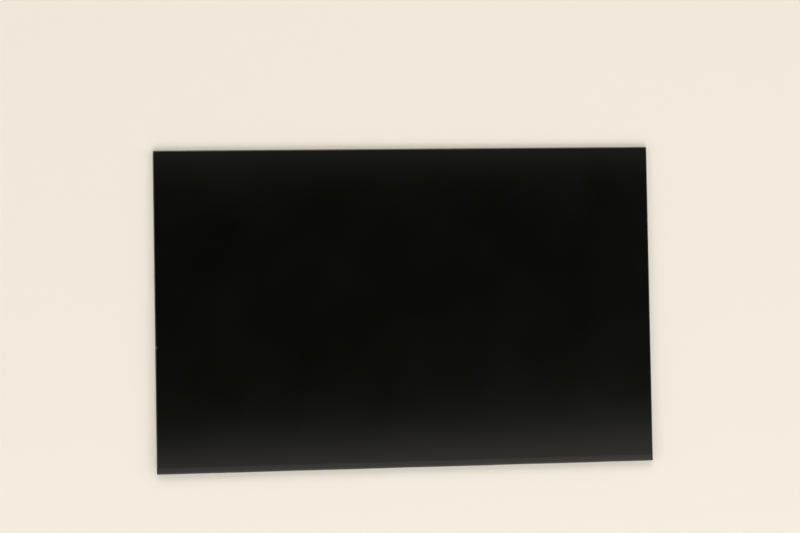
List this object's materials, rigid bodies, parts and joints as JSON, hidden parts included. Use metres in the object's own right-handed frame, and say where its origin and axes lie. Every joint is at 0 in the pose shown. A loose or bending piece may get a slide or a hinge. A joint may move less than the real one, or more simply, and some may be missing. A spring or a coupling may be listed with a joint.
{
  "type": "laptop screen panel",
  "caption": "Flat matte liquid crystal screen module for a laptop: layered glass and backlight in a slim frame, with its timing board folded behind the lower edge.",
  "frame": {"origin": "middle of the panel's outline, on the surface that the panel lies on", "axes": "+X across the screen to the right as seen from the front, +Y towards the screen's top edge, +Z out of the screen"},
  "size_m": [0.3066, 0.197, 0.0042],
  "materials": {
    "polariser_film": "matte anti-glare film",
    "cell_glass": "clear float glass over a black matrix",
    "frame_plastic": "fine spark-eroded",
    "cover_metal": "rolled sheet",
    "optical_film": "clear embossed film",
    "guide_acrylic": "clear",
    "reflector_film": "white",
    "black_tape": "matte film",
    "clear_tape": "adhesive film",
    "flex_film": "polyimide film",
    "white_moulding": "moulded",
    "board_laminate": "solder mask",
    "chip_package": "moulded epoxy",
    "chip_silicon": "ground silicon",
    "ferrite": "fired",
    "capacitor_ceramic": "fired",
    "resistor_body": "glazed",
    "connector_moulding": "moulded, ivory",
    "shell_steel": "tinned sheet",
    "contact_metal": "gold flash",
    "ground_foil": "foil"
  },
  "bodies": {
    "root": {"front_polariser": "polariser_film", "colour_filter_glass": "cell_glass", "array_glass": "cell_glass", "rear_polariser": "polariser_film", "cell_tape": "black_tape", "mid_frame": "frame_plastic", "upper_prism_film": "optical_film", "lower_prism_film": "optical_film", "diffuser_film": "optical_film", "light_guide": "guide_acrylic", "reflector_sheet": "reflector_film", "light_bar_tape": "clear_tape", "light_bar_flex": "flex_film", "light_bar_leds": "white_moulding", "rear_cover": "cover_metal", "board_tape": "clear_tape", "timing_board": "board_laminate", "edge_tape": "black_tape", "ground_foil_left": "ground_foil", "ground_foil_right": "ground_foil", "connector_housing": "connector_moulding", "connector_shell": "shell_steel", "connector_contacts": "contact_metal", "timing_controller": "chip_package", "power_chip": "chip_package", "backlight_driver": "chip_package", "setting_memory": "chip_package", "level_shifter": "chip_package", "inductor_1": "ferrite", "inductor_2": "ferrite", "inductor_3": "ferrite", "capacitors": "capacitor_ceramic", "bulk_capacitors": "capacitor_ceramic", "input_fuse": "white_moulding", "resistors": "resistor_body", "diodes": "chip_package", "source_film_1": "flex_film", "source_chip_1": "chip_silicon", "source_film_2": "flex_film", "source_chip_2": "chip_silicon", "source_film_3": "flex_film", "source_chip_3": "chip_silicon", "source_film_4": "flex_film", "source_chip_4": "chip_silicon"}
  },
  "joints": []
}
